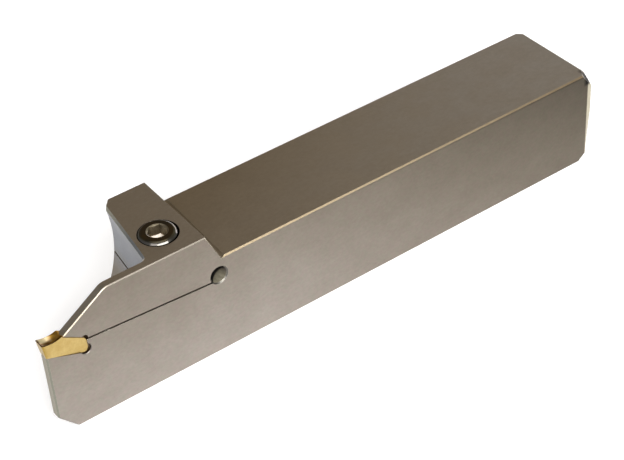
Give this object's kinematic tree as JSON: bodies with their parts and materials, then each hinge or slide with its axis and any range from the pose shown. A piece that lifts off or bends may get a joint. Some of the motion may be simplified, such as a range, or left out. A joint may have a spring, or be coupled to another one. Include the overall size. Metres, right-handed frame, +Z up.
{
  "type": "turning tool holder",
  "caption": "Square-shank lathe tool holder for parting and grooving: a thin blade flush with one side, a slit jaw drawn down by a socket screw, and a gold-coloured cutting insert.",
  "frame": {"origin": "centre of the underside's outline: halfway along the overall length, halfway across the shank, on the plane of the shank's underside", "axes": "+X along the shank towards the cutting edge, +Y towards the side the blade is flush with, +Z up"},
  "size_m": [0.15, 0.0251, 0.0326],
  "materials": {
    "ground_steel": "fine ground, satin",
    "gold_coating": "satin gold-coloured hard coating",
    "black_oxide": "oiled black oxide"
  },
  "bodies": {
    "holder": {"holder_body": "ground_steel", "cutting_insert": "gold_coating"},
    "screw": {"clamp_screw": "black_oxide"}
  },
  "joints": [
    {"name": "screw_turn", "type": "hinge", "parent": "holder", "child": "screw", "pos_m": [0.0417, 0.0046, 0.018], "axis": [0, 0, 1], "range_deg": [0, 450]}
  ]
}
